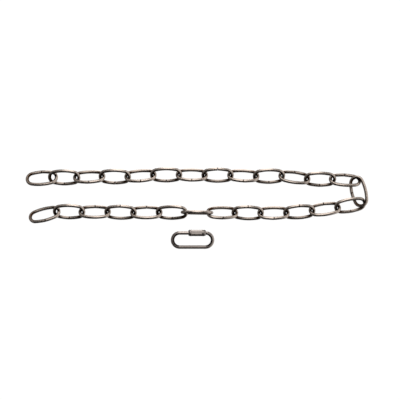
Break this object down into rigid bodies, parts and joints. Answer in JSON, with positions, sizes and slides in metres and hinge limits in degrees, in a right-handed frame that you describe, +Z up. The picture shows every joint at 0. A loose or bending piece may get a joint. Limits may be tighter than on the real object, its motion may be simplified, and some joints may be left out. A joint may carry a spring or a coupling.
{
  "type": "oval link steel chain with quick link",
  "caption": "Length of oval-link steel wire chain in antique pewter plating, laid doubled on a level surface, with its screw-sleeve quick link unhooked beside it.",
  "frame": {"origin": "on the floor, under the middle of the bounding box of the whole lay", "axes": "+X along the two runs of chain, from the open ends to the turn; +Y from the quick link to the far run; +Z up"},
  "size_m": [0.4006, 0.0948, 0.0198],
  "materials": {
    "link_wire": "antique pewter plating over steel wire, rubbed bright on the high sides and dark where the links hook",
    "quick_link_wire": "antique pewter plating over steel rod, satin",
    "sleeve": "antique pewter plating over a turned bar with six milled flats, satin"
  },
  "bodies": {
    "chain": {"link_01": "link_wire", "link_02": "link_wire", "link_03": "link_wire", "link_04": "link_wire", "link_05": "link_wire", "link_06": "link_wire", "link_07": "link_wire", "link_08": "link_wire", "link_09": "link_wire", "link_10": "link_wire", "link_11": "link_wire", "link_12": "link_wire", "link_13": "link_wire", "link_14": "link_wire", "link_15": "link_wire", "link_16": "link_wire", "link_17": "link_wire", "link_18": "link_wire", "link_19": "link_wire", "link_20": "link_wire", "link_21": "link_wire", "link_22": "link_wire", "link_23": "link_wire", "link_24": "link_wire", "link_25": "link_wire", "link_26": "link_wire", "link_27": "link_wire", "quick_link_body": "quick_link_wire"},
    "sleeve": {"quick_link_sleeve": "sleeve"}
  },
  "joints": [
    {"name": "sleeve_slide", "type": "slide", "parent": "chain", "child": "sleeve", "axis": [-1, 0, 0], "range_m": [0, 0.0098]}
  ]
}
